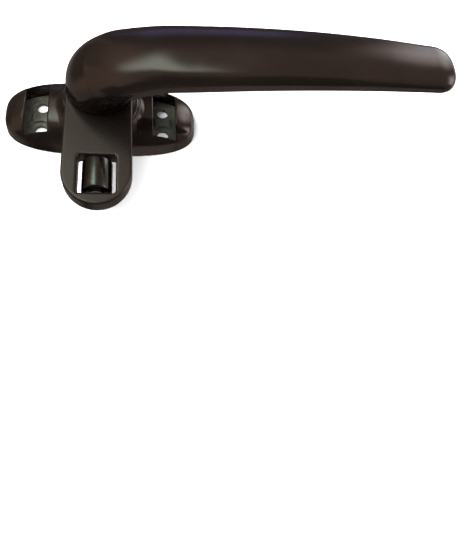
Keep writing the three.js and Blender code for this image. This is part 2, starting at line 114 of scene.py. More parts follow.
def mesh_object(name, points, faces, smooth=True):
    mesh = bpy.data.meshes.new(name)
    mesh.from_pydata((np.asarray(points) * MM).tolist(), [], faces)
    mesh.update()
    if smooth:
        mesh.shade_smooth()
    obj = bpy.data.objects.new(name, mesh)
    bpy.context.scene.collection.objects.link(obj)
    return obj


CORNERS = np.array([(i, j, k) for i in (0, 1) for j in (0, 1) for k in (0, 1)])
EDGES = [(a, b) for a in range(8) for b in range(a + 1, 8) if np.abs(CORNERS[a] - CORNERS[b]).sum() == 1]


def slope_of(field, points):
    """Unit gradient of a field, and the distance to its surface, at each point."""
    step = SLOPE_STEP
    x, y, z = points.T
    gradient = np.stack(
        [
            field(x + step, y, z) - field(x - step, y, z),
            field(x, y + step, z) - field(x, y - step, z),
            field(x, y, z + step) - field(x, y, z - step),
        ],
        axis=1,
    ) / (2 * step)
    size = np.maximum(np.linalg.norm(gradient, axis=1, keepdims=True), 1e-6)
    return gradient / size, field(x, y, z)[:, None] / np.maximum(size, 0.3)


def skin(name, field, low, high, cell):
    """Closed quad mesh on a field's zero surface: one point per crossed cell, relaxed along the surface."""
    axes = [np.arange(a - 1.6 * cell, b + 2.6 * cell, cell) for a, b in zip(low, high)]
    grid = np.meshgrid(*axes, indexing="ij")
    value = field(*grid)
    inside = value < 0
    cells = tuple(n - 1 for n in inside.shape)

    def corner_view(array, corner):
        return array[tuple(slice(c, n + c) for c, n in zip(corner, cells))]

    count = sum(corner_view(inside, corner).astype(np.int8) for corner in CORNERS)
    crossed = np.argwhere((count > 0) & (count < 8))
    values = np.stack([value[tuple((crossed + corner).T)] for corner in CORNERS], axis=1)
    total, hits = np.zeros((len(crossed), 3)), np.zeros((len(crossed), 1))
    for a, b in EDGES:
        va, vb = values[:, a], values[:, b]
        hit = (va < 0) != (vb < 0)
        t = np.where(hit, va / np.where(hit, va - vb, 1), 0)[:, None]
        total += np.where(hit[:, None], CORNERS[a] + t * (CORNERS[b] - CORNERS[a]), 0)
        hits += hit[:, None]
    origin = np.array([axis[0] for axis in axes])
    points = origin + (crossed + total / hits) * cell

    number = np.full(cells, -1)
    number[tuple(crossed.T)] = np.arange(len(crossed))
    faces = []
    for axis in range(3):
        b, c = (axis + 1) % 3, (axis + 2) % 3
        start = inside[tuple(slice(0, -1) if n == axis else slice(None) for n in range(3))]
        end = inside[tuple(slice(1, None) if n == axis else slice(None) for n in range(3))]
        for first, last in ((True, False), (False, True)):
            at = np.argwhere((start == first) & (end == last))
            ring = []
            for db, dc in ((-1, -1), (0, -1), (0, 0), (-1, 0)):
                near = at.copy()
                near[:, b] += db
                near[:, c] += dc
                ring.append(number[tuple(near.T)])
            quads = np.stack(ring, axis=1)
            faces.append(quads if first else quads[:, ::-1])
    faces = np.concatenate(faces)

    sides = np.concatenate([faces[:, [n, (n + 1) % 4]] for n in range(4)])
    degree = np.bincount(sides[:, 0], minlength=len(points))[:, None]
    for _ in range(RELAX_ROUNDS):
        mean = np.stack(
            [np.bincount(sides[:, 0], points[sides[:, 1], n], len(points)) for n in range(3)], axis=1
        ) / np.maximum(degree, 1)
        normal, distance = slope_of(field, points)
        slide = mean - points
        slide -= (slide * normal).sum(1, keepdims=True) * normal
        points = points + 0.6 * slide - np.clip(distance, -cell, cell) * normal
    for _ in range(SETTLE_ROUNDS):
        normal, distance = slope_of(field, points)
        points = points - np.clip(distance, -cell, cell) * normal
    return mesh_object(name, points, faces.tolist())


def rounded_profile(corners, radius):
    """Corners of a closed outline, each swapped for a small arc, except those on the axis."""
    corners = [np.array(c, float) for c in corners]
    outline = []
    for n, corner in enumerate(corners):
        before, after = corners[n - 1] - corner, corners[(n + 1) % len(corners)] - corner
        room = min(np.linalg.norm(before), np.linalg.norm(after)) * 0.45
        if corner[0] < 1e-6 or radius <= 0:
            outline.append(corner)
            continue
        before, after = before / np.linalg.norm(before), after / np.linalg.norm(after)
        half = math.acos(float(np.clip(before @ after, -1, 1))) / 2
        if half > STRAIGHT:
            outline.append(corner)
            continue
        reach = min(radius / math.tan(half), room)
        arc = reach * math.tan(half)
        middle = (before + after) / np.linalg.norm(before + after)
        centre = corner + middle * arc / math.sin(half)
        start = corner + before * reach - centre
        end = corner + after * reach - centre
        turn = math.atan2(start[0] * end[1] - start[1] * end[0], float(start @ end))
        for step in range(ARC_STEPS + 1):
            angle = turn * step / ARC_STEPS
            c, s = math.cos(angle), math.sin(angle)
            outline.append(centre + np.array([c * start[0] - s * start[1], s * start[0] + c * start[1]]))
    return outline


def turned(name, corners, radius=0.15, sides=96, place=None):
    """Piece turned about the Z axis from closed (radius, height) corners, then put in place by a matrix."""
    outline = rounded_profile(corners, radius)
    points, rows = [], []
    for r, z in outline:
        if r < 1e-6:
            rows.append([len(points)] * sides)
            points.append((0, 0, z))
        else:
            rows.append(list(range(len(points), len(points) + sides)))
            for n in range(sides):
                angle = 2 * math.pi * n / sides
                points.append((r * math.cos(angle), r * math.sin(angle), z))
    faces = []
    for n, row in enumerate(rows):
        other = rows[(n + 1) % len(rows)]
        for k in range(sides):
            m = (k + 1) % sides
            face = list(dict.fromkeys([row[k], row[m], other[m], other[k]]))
            if len(face) > 2:
                faces.append(face)
    points = np.array(points)
    if place is not None:
        turn = np.array(place)
        points = points @ turn[:3, :3].T + turn[:3, 3]
    return mesh_object(name, points, faces)


# ---------------------------------------------------------------- materials


class Finish:
    """Small helper that builds one procedural material, node by node."""

    def __init__(self, name):
        self.material = bpy.data.materials.new(name)
        self.material.use_nodes = True
        self.nodes = self.material.node_tree.nodes
        self.links = self.material.node_tree.links
        self.nodes.clear()
        self.shader = self.nodes.new("ShaderNodeBsdfPrincipled")
        output = self.nodes.new("ShaderNodeOutputMaterial")
        self.links.new(self.shader.outputs["BSDF"], output.inputs["Surface"])
        self.coordinates = self.nodes.new("ShaderNodeTexCoord").outputs["Object"]

    def set(self, **sockets):
        for name, value in sockets.items():
            self.shader.inputs[name.replace("_", " ")].default_value = value

    def link(self, source, socket):
        self.links.new(source, self.shader.inputs[socket])

    def stretched(self, scale):
        mapping = self.nodes.new("ShaderNodeMapping")
        mapping.inputs["Scale"].default_value = scale
        self.links.new(self.coordinates, mapping.inputs["Vector"])
        return mapping.outputs["Vector"]

    def noise(self, scale, detail=3.0, roughness=0.55, vector=None):
        node = self.nodes.new("ShaderNodeTexNoise")
        node.inputs["Scale"].default_value = scale
        node.inputs["Detail"].default_value = detail
        node.inputs["Roughness"].default_value = roughness
        self.links.new(vector or self.coordinates, node.inputs["Vector"])
        return node.outputs["Fac"]

    def spread(self, value, low, high, to_low=0.0, to_high=1.0):
        """Maps a value from one range to another, clamped."""
        node = self.nodes.new("ShaderNodeMapRange")
        for socket, number in zip(("From Min", "From Max", "To Min", "To Max"), (low, high, to_low, to_high)):
            node.inputs[socket].default_value = number
        self.links.new(value, node.inputs["Value"])
        return node.outputs["Result"]

    def maths(self, operation, a, b):
        node = self.nodes.new("ShaderNodeMath")
        node.operation = operation
        for socket, value in zip(node.inputs, (a, b)):
            if isinstance(value, (int, float)):
                socket.default_value = value
            else:
                self.links.new(value, socket)
        return node.outputs["Value"]

    def blend(self, share, a, b):
        """Colour a where share is 0 and b where it is 1."""
        node = self.nodes.new("ShaderNodeMix")
        node.data_type = "RGBA"
        self.links.new(share, node.inputs["Factor"])
        for socket, value in ((node.inputs["A"], a), (node.inputs["B"], b)):
            if isinstance(value, tuple):
                socket.default_value = (*value, 1.0)
            else:
                self.links.new(value, socket)
        return node.outputs["Result"]

    def edges(self, low, high):
        """1 on outer edges and 0 on flat surfaces."""
        node = self.nodes.new("ShaderNodeNewGeometry")
        return self.spread(node.outputs["Pointiness"], low, high)

    def bump(self, height, distance, strength=1.0, under=None):
        node = self.nodes.new("ShaderNodeBump")
        node.inputs["Strength"].default_value = strength
        node.inputs["Distance"].default_value = distance
        self.links.new(height, node.inputs["Height"])
        if under is not None:
            self.links.new(under, node.inputs["Normal"])
        return node.outputs["Normal"]


def bronze_coat(name, smooth, dull):
    """Dark bronze coat between two roughnesses: slow colour drift, fine grain, rubbed edges."""
    f = Finish(name)
    drift = f.spread(f.noise(38.0, 3.0), 0.35, 0.65)
    base = f.blend(drift, (0.064, 0.050, 0.042), (0.080, 0.062, 0.052))
    fleck = f.spread(f.noise(2600.0, 2.0), 0.56, 0.72, 0.0, 0.3)
    base = f.blend(fleck, base, (0.11, 0.09, 0.078))
    rub = f.maths("MULTIPLY", f.edges(0.56, 0.66), f.spread(f.noise(240.0, 4.0), 0.4, 0.65, 0.15, 0.6))
    base = f.blend(rub, base, (0.19, 0.15, 0.12))
    f.link(base, "Base Color")
    f.link(f.spread(f.noise(120.0, 4.0), 0.3, 0.7, smooth, dull), "Roughness")
    f.set(Metallic=0.95)
    grain = f.bump(f.noise(1500.0, 2.0), 0.00002, 0.25)
    f.link(f.bump(f.noise(420.0, 2.0), 0.00003, 0.15, under=grain), "Normal")
    return f.material


def shade_darkened_zinc():
    """Cast zinc alloy: grey-green, mottled, with a matt cast skin. Its colours are painted far darker than
    bare zinc, as painted shade for the plate that sits shaded down in the cover's windows.
    """
    f = Finish("shade_darkened_zinc")
    mottle = f.spread(f.noise(260.0, 5.0, 0.65), 0.35, 0.65)
    # Painted shade: both mottle colours are set far below bare zinc's own colour, so the plate shows as
    # shaded under these bright lights.
    base = f.blend(mottle, (0.036, 0.034, 0.027), (0.078, 0.075, 0.060))
    dull = f.spread(f.noise(900.0, 3.0), 0.55, 0.7, 0.0, 0.6)
    base = f.blend(dull, base, (0.026, 0.024, 0.021))
    base = f.blend(f.maths("MULTIPLY", f.edges(0.53, 0.62), 0.6), base, (0.18, 0.18, 0.155))
    f.link(base, "Base Color")
    f.link(f.spread(mottle, 0.0, 1.0, 0.55, 0.4), "Roughness")
    f.set(Metallic=0.3)
    f.link(f.bump(f.noise(1400.0, 4.0), 0.00004, 0.6), "Normal")
    return f.material


def turned_steel(name, dark, light, low_roughness, stretch=(1.0, 1.0, 1.0)):
    """Machined steel: fine turning marks, slightly uneven plating, brighter edges."""
    f = Finish(name)
    marks = f.noise(5200.0, 2.0, vector=f.stretched(stretch))
    cloud = f.spread(f.noise(420.0, 3.0), 0.35, 0.65)
    base = f.blend(cloud, dark, light)
    edge = f.spread(f.edges(0.53, 0.62), 0.0, 1.0, 0.0, 0.5)
    base = f.blend(edge, base, tuple(min(1.0, 1.5 * c) for c in light))
    f.link(base, "Base Color")
    f.link(f.spread(cloud, 0.0, 1.0, low_roughness + 0.12, low_roughness), "Roughness")
    f.set(Metallic=1.0)
    f.link(f.bump(marks, 0.000012, 0.6), "Normal")
    return f.material


def moulded(name, dark, light, roughness):
    """Moulded plastic with a faint cloud and a fine skin grain."""
    f = Finish(name)
    f.link(f.blend(f.spread(f.noise(300.0, 3.0), 0.35, 0.65), dark, light), "Base Color")
    f.link(f.spread(f.noise(700.0, 3.0), 0.3, 0.7, roughness, roughness + 0.14), "Roughness")
    f.link(f.bump(f.noise(2400.0, 2.0), 0.00002, 0.6), "Normal")
    return f.material


bronze = bronze_coat("bronze_coat", 0.13, 0.19)
satin_bronze = bronze_coat("satin_bronze_coat", 0.25, 0.32)
zinc = shade_darkened_zinc()
plated_steel = turned_steel("plated_steel", (0.42, 0.43, 0.45), (0.60, 0.61, 0.63), 0.26)
roller_steel = turned_steel(
    "blackened_steel", (0.075, 0.072, 0.060), (0.115, 0.110, 0.092), 0.16, stretch=(1.0, 0.12, 1.0)
)
black_steel = turned_steel("black_oxide_steel", (0.020, 0.019, 0.020), (0.045, 0.043, 0.042), 0.34)
spring_steel = turned_steel("spring_steel", (0.16, 0.165, 0.18), (0.30, 0.305, 0.32), 0.30)
acetal = moulded("black_acetal", (0.016, 0.016, 0.018), (0.030, 0.030, 0.032), 0.34)


def finished(piece, node, body, material):
    """Gives a piece its material and its place: it stands for a CAD node and rides on that node's body."""
    piece.data.materials.clear()
    piece.data.materials.append(material)
    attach(piece, body)
    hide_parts(node)


# ---------------------------------------------------------------- base cover

BASE_LOW, BASE_HIGH = box_mm("base_cover")
HALF_LENGTH, HALF_WIDTH, COLLAR_TOP = BASE_HIGH.x, BASE_HIGH.y, BASE_HIGH.z
PLAN_POWER = 2.9
SKIRT = 3.4
SKIRT_DRAFT = 0.99
DOME_TOP = 11.3
DOME_POWER = 2.7
WALL = 2.2
POCKET_RADIUS = 9.0
POCKET_TOP = 9.1
COLLAR_RADIUS = 13.9
COLLAR_FOOT = 2.5
COLLAR_EDGE = 0.55
COLLAR_COVE = 3.2
COLLAR_BORE = box_mm("pivot_bush")[1].x + 0.12
WINDOW = (19.7, 28.5, 11.0)  # near and far edge from the pivot, and half width
WINDOW_CORNER, WINDOW_EDGE, WINDOW_FLOOR = 0.5, 0.38, 2.2
SCREW_LOW, SCREW_HIGH = box_mm("plate_screw_2")
SCREW_X = SCREW_LOW.x / 2 + SCREW_HIGH.x / 2
BOSS_RADIUS, BOSS_FOOT = 3.1, 2.3
THREAD_HOLE_RADIUS, THREAD_HOLE_TOP = 1.35, 8.6


def dome(inset, top):
    """Near-surface distance to the domed block, its walls moved in by the inset."""
    length, width = HALF_LENGTH - inset, HALF_WIDTH - inset

    def implicit(x, y, z):
        plan = (np.abs(x / length) ** PLAN_POWER + np.abs(y / width) ** PLAN_POWER) ** (1 / PLAN_POWER)
        draft = 1 - (1 - SKIRT_DRAFT) * np.clip(z / SKIRT, 0, 1)
        rise = np.maximum(z - SKIRT, 0) / (top - SKIRT)
        return (plan / draft) ** DOME_POWER + rise**2 - 1

    return as_distance(implicit)


outer_dome, inner_dome = dome(0, DOME_TOP), dome(WALL, DOME_TOP - WALL)


def base_field(x, y, z):
    axis = np.hypot(x, y)
    shell = both_round(outer_dome(x, y, z), -z, 0.25)
    collar = both_round(axis - COLLAR_RADIUS, slab(z, COLLAR_FOOT, COLLAR_TOP), COLLAR_EDGE)
    body = union_round(shell, collar, COLLAR_COVE)
    boss = np.maximum(disc(np.abs(x) - SCREW_X, y, BOSS_RADIUS), BOSS_FOOT - z)
    hollow = cut_round(np.maximum(inner_dome(x, y, z), z - POCKET_TOP), boss, 0.4)
    pocket = np.maximum(axis - POCKET_RADIUS, z - POCKET_TOP)
    body = cut_round(body, union_round(hollow, pocket, 0.3), 0.3)
    body = cut_round(body, axis - COLLAR_BORE, 0.25)
    near, far, side = WINDOW
    plan = rectangle(np.abs(x), y, (near, -side), (far, side), WINDOW_CORNER)
    body = cut_round(body, np.maximum(plan, WINDOW_FLOOR - z), WINDOW_EDGE)
    thread = np.maximum(disc(np.abs(x) - SCREW_X, y, THREAD_HOLE_RADIUS), z - THREAD_HOLE_TOP)
    return np.maximum(body, -thread)


base_cover = skin("base_shell", base_field, BASE_LOW, BASE_HIGH, 0.36)
finished(base_cover, "base_cover", "base", bronze)

# ---------------------------------------------------------------- mounting plate and its screws

PLATE_LOW, PLATE_HIGH = box_mm("mounting_plate")
PLATE_FACE = 2.0
HOLE_X, HOLE_Y = 23.6, 5.45
HOLE_RADIUS, SEAT_RADIUS, SEAT_DEPTH = 2.2, 3.9, 0.45
LAND_HALF_LENGTH, LAND_HALF_WIDTH = 3.4, 2.2
PLATE_BORE = 9.0


def plate_field(x, y, z):
    length, width = PLATE_HIGH.x, PLATE_HIGH.y
    plan = (np.abs(x / length) ** PLAN_POWER + np.abs(y / width) ** PLAN_POWER) ** (1 / PLAN_POWER)
    edge = (plan - 1) * width
    body = both_round(edge, slab(z, 0, PLATE_FACE), 0.3)
    low = (HOLE_X - LAND_HALF_LENGTH, -LAND_HALF_WIDTH)
    high = (HOLE_X + LAND_HALF_LENGTH, LAND_HALF_WIDTH)
    land = both_round(rectangle(np.abs(x), y, low, high, 0.5), slab(z, 1, PLATE_HIGH.z), 0.3)
    body = union_round(body, land, 0.25)
    around = disc(np.abs(x) - HOLE_X, np.abs(y) - HOLE_Y, 0)
    seat = np.maximum(around - SEAT_RADIUS, PLATE_FACE - SEAT_DEPTH - z)
    body = cut_round(body, seat, 0.2)
    body = cut_round(body, around - HOLE_RADIUS, 0.22)
    screw = disc(np.abs(x) - SCREW_X, y, 0)
    cone = np.minimum(screw - 1.45, (screw - 2.9 + z) * 0.707)
    body = cut_round(body, cone, 0.15)
    return cut_round(body, np.hypot(x, y) - PLATE_BORE, 0.3)


plate = skin("zinc_plate", plate_field, PLATE_LOW, PLATE_HIGH, 0.3)
finished(plate, "mounting_plate", "base", zinc)


THREAD_PITCH = 0.8
CROSS_REACH, CROSS_HALF_WIDTH, CROSS_DEPTH = 1.35, 0.27, 1.0


def screw_field(centre_x, low, top):
    """Countersunk screw, its head at the back, with a cross recess and a cut thread."""

    def field(x, y, z):
        u, height = x - centre_x, z - low
        axis, angle = np.hypot(u, y), np.arctan2(y, u)
        thread = 0.12 * np.sin(2 * math.pi * height / THREAD_PITCH - angle)
        shank = axis - 1.15 + thread * (height > 1.6)
        head = np.maximum((axis - 2.3 + height) * 0.707, axis - 2.25)
        body = union_round(shank, head, 0.2)
        body = both_round(body, slab(z, low, top), 0.12)
        tip = (axis + (height - (top - low)) * 0.8 - 0.55) * 0.78
        arm_x = np.maximum(np.abs(u) - CROSS_REACH, np.abs(y) - CROSS_HALF_WIDTH)
        arm_y = np.maximum(np.abs(y) - CROSS_REACH, np.abs(u) - CROSS_HALF_WIDTH)
        cross = np.minimum(arm_x, arm_y)
        recess = np.maximum(np.maximum(cross, height - CROSS_DEPTH), (axis - 1.5 + height * 0.8) * 0.75)
        return cut_round(np.maximum(body, tip), recess, 0.08)

    return field


for number in (1, 2):
    node = f"plate_screw_{number}"
    low, high = box_mm(node)
    field = screw_field((low.x + high.x) / 2, low.z, high.z)
    finished(skin(f"cover_screw_{number}", field, low, high, 0.12), node, "base", plated_steel)

# ---------------------------------------------------------------- pivot stack


def ring_corners(node, inner):
    """Corners of a plain washer or bush that fills a CAD node's box, bored to the inner radius."""
    low, high = box_mm(node)
    return [(inner, low.z), (high.x, low.z), (high.x, high.z), (inner, high.z)]


JOURNAL = 3.95
BUSH_BORE, FRICTION_WASHER_BORE, THRUST_WASHER_BORE = 4.12, 6.2, JOURNAL + 0.15
bush = turned("collar_bush", ring_corners("pivot_bush", BUSH_BORE), 0.25)
finished(bush, "pivot_bush", "base", acetal)
washer = turned("acetal_washer", ring_corners("friction_washer", FRICTION_WASHER_BORE), 0.12)
finished(washer, "friction_washer", "base", acetal)
washer = turned("steel_thrust_washer", ring_corners("thrust_washer", THRUST_WASHER_BORE))
finished(washer, "thrust_washer", "handle", plated_steel)

SPRING_SHEET = 0.45
for node, rises in (("disc_spring_1", False), ("disc_spring_2", True)):
    low, high = box_mm(node)
    inner, outer = JOURNAL + 0.35, high.x
    lower, upper = low.z, high.z - SPRING_SHEET
    inner_low, outer_low = (upper, lower) if rises else (lower, upper)
    corners = [
        (inner, inner_low),
        (outer, outer_low),
        (outer, outer_low + SPRING_SHEET),
        (inner, inner_low + SPRING_SHEET),
    ]
    spring = turned(f"cone_{node}", corners, 0.12)
    finished(spring, node, "handle", spring_steel)

SPINDLE_LOW, SPINDLE_HIGH = box_mm("spindle")
GROOVE = (4.4, 5.5, 3.2)  # bottom, top and radius
SQUARE_FROM = box_mm("latch_tongue")[0].z + 0.1


def spindle_field(x, y, z):
    axis = np.hypot(x, y)
    half = SPINDLE_HIGH.x
    section = rectangle(x, y, (-half, -half), (half, half), 0.6)
    square = both_round(section, slab(z, SQUARE_FROM, SPINDLE_HIGH.z), 0.25)
    journal = both_round(axis - JOURNAL, slab(z, SPINDLE_LOW.z, SQUARE_FROM + 1), 0.4)
    low, high, radius = GROOVE
    journal = cut_round(journal, np.maximum(radius - axis, slab(z, low, high)), 0.12)
    centre_drill = (axis - 1.1 + (z - SPINDLE_LOW.z)) * 0.707
    return cut_round(np.minimum(square, journal), centre_drill, 0.1)


spindle = skin("square_spindle", spindle_field, SPINDLE_LOW, SPINDLE_HIGH, 0.2)
finished(spindle, "spindle", "handle", plated_steel)

RING_LOW, RING_HIGH = box_mm("retaining_ring")
RING_OUTER = 5.6
RING_GAP = 0.7  # half width of the opening
LUG_X, LUG_Y, LUG_RADIUS, LUG_HOLE = 2.0, 6.2, 1.3, 0.5


def snap_ring_field(x, y, z):
    axis = np.hypot(x, y)
    band = np.maximum(axis - RING_OUTER, GROOVE[2] + 0.1 - axis)
    lugs = disc(np.abs(x) - LUG_X, y - LUG_Y, LUG_RADIUS)
    flat = union_round(band, lugs, 0.5)
    flat = cut_round(flat, np.maximum(np.abs(x) - RING_GAP, -y), 0.2)
    flat = cut_round(flat, disc(np.abs(x) - LUG_X, y - LUG_Y, LUG_HOLE), 0.1)
    return both_round(flat, slab(z, RING_LOW.z, RING_HIGH.z), 0.12)


snap_ring = skin("snap_ring", snap_ring_field, RING_LOW, RING_HIGH, 0.12)
finished(snap_ring, "retaining_ring", "handle", spring_steel)

PIN_LOW, PIN_HIGH = box_mm("stop_pin")
pin_radius = (PIN_HIGH.x - PIN_LOW.x) / 2
pin_place = Matrix.Translation(((PIN_LOW.x + PIN_HIGH.x) / 2, (PIN_LOW.y + PIN_HIGH.y) / 2, 0))
pin_corners = [(0, PIN_LOW.z), (pin_radius, PIN_LOW.z), (pin_radius, PIN_HIGH.z), (0, PIN_HIGH.z)]
finished(turned("stop_dowel", pin_corners, 0.25, 48, pin_place), "stop_pin", "base", plated_steel)

# ---------------------------------------------------------------- latch tongue

TONGUE_LOW, TONGUE_HIGH = box_mm("latch_tongue")
ROLLER_LOW, ROLLER_HIGH = box_mm("roller")
ROLLER_CENTRE = (ROLLER_LOW + ROLLER_HIGH) / 2
HUB_RADIUS = TONGUE_HIGH.y
TONGUE_HALF_WIDTH = 12.0
TONGUE_END_REACH = 13.6
TONGUE_END_Y = TONGUE_LOW.y + TONGUE_END_REACH
ROLLER_WINDOW = ((-6.5, -43.7), (6.5, -28.5))
STOP_CIRCLE, STOP_FROM, STOP_TO = 9.7, 45.0, 135.0  # the stop groove's middle circle, and its ends in degrees
STOP_HALF_WIDTH, STOP_DEPTH = 1.45, 1.9
HUB_STEP, HUB_TAPER = 1.6, 0.42  # the hub's wall is upright up to the step, and leans inwards above it
PIN_HOLE_RADIUS, PIN_HOLE_HALF_LENGTH = 1.15, 10.6


def tongue_outline(x, y):
    """Straight sides that run into a half ellipse."""
    past = np.minimum(y - TONGUE_END_Y, 0) * TONGUE_HALF_WIDTH / TONGUE_END_REACH
    value = np.hypot(x, past)
    slope = np.hypot(x, past * TONGUE_HALF_WIDTH / TONGUE_END_REACH) / np.maximum(value, 1e-6)
    return np.maximum((value - TONGUE_HALF_WIDTH) / np.maximum(slope, 0.3), y - 1)


def tongue_field(x, y, z):
    axis = np.hypot(x, y)
    low, high = TONGUE_LOW.z, TONGUE_HIGH.z
    hub_wall = axis - HUB_RADIUS + np.maximum(z - low - HUB_STEP, 0) * HUB_TAPER
    plan = union_round(tongue_outline(x, y), hub_wall, 1.2)
    body = both_round(plan, slab(z, low, high), 0.65)
    window = rectangle(x, y, *ROLLER_WINDOW, 1.1)
    body = cut_round(body, window, 0.7)
    half = SPINDLE_HIGH.x + 0.1
    body = np.maximum(body, -rectangle(x, y, (-half, -half), (half, half), 0.5))
    angle = np.degrees(np.arctan2(y, x))
    past_end = np.maximum(STOP_FROM - angle, angle - STOP_TO) * math.pi / 180 * STOP_CIRCLE
    groove = np.hypot(np.maximum(past_end, 0), axis - STOP_CIRCLE) - STOP_HALF_WIDTH
    groove = np.maximum(groove, z - low - STOP_DEPTH)
    body = cut_round(body, groove, 0.2)
    pin = disc(x - ROLLER_CENTRE.x, z - ROLLER_CENTRE.z, PIN_HOLE_RADIUS)
    pin = np.maximum(pin, np.abs(y - ROLLER_CENTRE.y) - PIN_HOLE_HALF_LENGTH)
    return np.maximum(body, -pin)


tongue = skin("tongue_casting", tongue_field, TONGUE_LOW, TONGUE_HIGH, 0.32)
finished(tongue, "latch_tongue", "handle", satin_bronze)

# ---------------------------------------------------------------- roller

along_y = Matrix.Translation(ROLLER_CENTRE) @ Matrix.Rotation(math.radians(-90), 4, "X")
roller_radius = (ROLLER_HIGH.x - ROLLER_LOW.x) / 2
half_roller = (ROLLER_HIGH.y - ROLLER_LOW.y) / 2
ROLLER_BORE = 1.25
END_RECESS, RECESS_RADIUS, RECESS_RIM = 0.35, 2.9, 3.1
roller_corners = [
    (ROLLER_BORE, -half_roller + END_RECESS),
    (RECESS_RADIUS, -half_roller + END_RECESS),
    (RECESS_RIM, -half_roller),
    (roller_radius, -half_roller),
    (roller_radius, half_roller),
    (RECESS_RIM, half_roller),
    (RECESS_RADIUS, half_roller - END_RECESS),
    (ROLLER_BORE, half_roller - END_RECESS),
]
roller = turned("latch_roller", roller_corners, 0.75, 128, along_y)
finished(roller, "roller", "roller", roller_steel)

low, high = box_mm("roller_pin")
pin_radius, half_pin = (high.x - low.x) / 2, (high.y - low.y) / 2
pin_corners = [(0, -half_pin), (pin_radius, -half_pin), (pin_radius, half_pin), (0, half_pin)]
finished(turned("roller_axle", pin_corners, 0.25, 48, along_y), "roller_pin", "handle", plated_steel)

for number in (1, 2):
    node = f"roller_washer_{number}"
    low, high = box_mm(node)
    centre, half = (low + high) / 2, (high.y - low.y) / 2
    place = Matrix.Translation(centre) @ Matrix.Rotation(math.radians(-90), 4, "X")
    outer = (high.x - low.x) / 2
    corners = [(ROLLER_BORE, -half), (outer, -half), (outer, half), (ROLLER_BORE, half)]
    finished(turned(f"end_washer_{number}", corners, 0.12, 64, place), node, "handle", acetal)

# ---------------------------------------------------------------- lever

LEVER_LOW, LEVER_HIGH = box_mm("lever")
NECK_BOTTOM = LEVER_LOW.z
GRIP_START, TIP_LENGTH, TIP_POWER, GRIP_POWER = 22.0, 9.0, 2.7, 2.3
GRIP_TIP = 127.4
GRIP_SHARES = np.array([0, 0.13, 0.29, 0.46, 0.64, 0.82, 1])  # where the grip's sections stand along it
NECK_EDGE, NECK_EDGE_STEPS = 0.5, 4  # rounded lower edge of the neck
# x, y, z, half width, half thickness and superellipse power of the neck's sections
NECK_STATIONS = [
    (0, 0, NECK_BOTTOM, 12.0, 12.0, 2.0),
    (0.45, 0, 24.4, 12.75, 11.2, 2.05),
    (3.75, -1.2, 29.75, 13.1, 9.4, 2.2),
    (9.9, -2.7, 34.8, 14.3, 6.3, 2.35),
]


def grip_station(x):
    """The grip's section at x, laid out like a row of the neck's table."""
    along = (x - 20) / 108.6
    half_width = 13.72 - 1.52 * along - 2.51 * along**2
    return (
        x,
        -3.1 - 2.65 * along + 0.6 * along**2,
        38.5 + 15.8 * along - 9.8 * along**2,
        half_width,
        half_width * (0.4 - 0.04 * along),
        GRIP_POWER,
    )


def smooth_through(stations, count):
    """Even Catmull-Rom samples through the rows of a station table."""
    rows = np.array(stations, float)
    rows = np.vstack([2 * rows[0] - rows[1], rows, 2 * rows[-1] - rows[-2]])
    t = np.linspace(0, len(stations) - 1, count)
    n = np.minimum(t.astype(int), len(stations) - 2)
    f = (t - n)[:, None]
    a, b, c, d = rows[n], rows[n + 1], rows[n + 2], rows[n + 3]
    return 0.5 * (2 * b + (c - a) * f + (2 * a - 5 * b + 4 * c - d) * f**2 + (3 * b - a - 3 * c + d) * f**3)


def superellipse(angle, power):
    c, s = np.cos(angle), np.sin(angle)
    return np.sign(c) * np.abs(c) ** (2 / power), np.sign(s) * np.abs(s) ** (2 / power)


def lever_mesh(sides=112, steps=190, tip_steps=26):
    grip_end = GRIP_TIP - TIP_LENGTH
    places = GRIP_START + GRIP_SHARES * (grip_end - GRIP_START)
    stations = [*NECK_STATIONS, *[grip_station(x) for x in places]]
    rows = smooth_through(stations, steps)
    centres, widths, thicknesses, powers = rows[:, :3], rows[:, 3], rows[:, 4], rows[:, 5]
    directions = np.gradient(centres, axis=0)
    directions /= np.linalg.norm(directions, axis=1, keepdims=True)
    upright = np.clip(1 - np.linspace(0, len(stations) - 1, steps), 0, 1)[:, None]
    directions = directions * (1 - upright) + np.array([0, 0, 1.0]) * upright
    directions /= np.linalg.norm(directions, axis=1, keepdims=True)

    def ring(centre, direction, width, thickness, power):
        up = np.cross(direction, (0, 1, 0))
        up /= np.linalg.norm(up)
        across = np.cross(up, direction)
        a, b = superellipse(np.linspace(0, 2 * math.pi, sides, endpoint=False), power)
        return centre + np.outer(a * width, across) + np.outer(b * thickness, up)

    rings = []
    for step in range(NECK_EDGE_STEPS + 1):
        angle = step / NECK_EDGE_STEPS * math.pi / 2
        centre = centres[0] + (0, 0, NECK_EDGE * (1 - math.cos(angle)) * 0.999)
        inset = NECK_EDGE * (1 - math.sin(angle))
        rings.append(ring(centre, directions[0], widths[0] - inset, thicknesses[0] - inset, powers[0]))
    for row in range(1, steps):
        if centres[row][2] > NECK_BOTTOM + NECK_EDGE * 1.3:
            rings.append(ring(centres[row], directions[row], widths[row], thicknesses[row], powers[row]))
    for step in range(1, tip_steps):
        shrink, reach = superellipse(np.array(step / tip_steps * math.pi / 2), TIP_POWER)
        centre = centres[-1] + directions[-1] * TIP_LENGTH * reach
        rings.append(ring(centre, directions[-1], widths[-1] * shrink, thicknesses[-1] * shrink, powers[-1]))
    points = np.vstack([centres[0], *rings, centres[-1] + directions[-1] * TIP_LENGTH])
    last = len(points) - 1
    faces = []
    for n in range(sides):
        m = (n + 1) % sides
        faces.append([0, 1 + m, 1 + n])
        faces.append([last - sides + n, last - sides + m, last])
        for row in range(len(rings) - 1):
            start = 1 + row * sides
            faces.append([start + n, start + m, start + sides + m, start + sides + n])
    return mesh_object("lever_casting", points, faces)


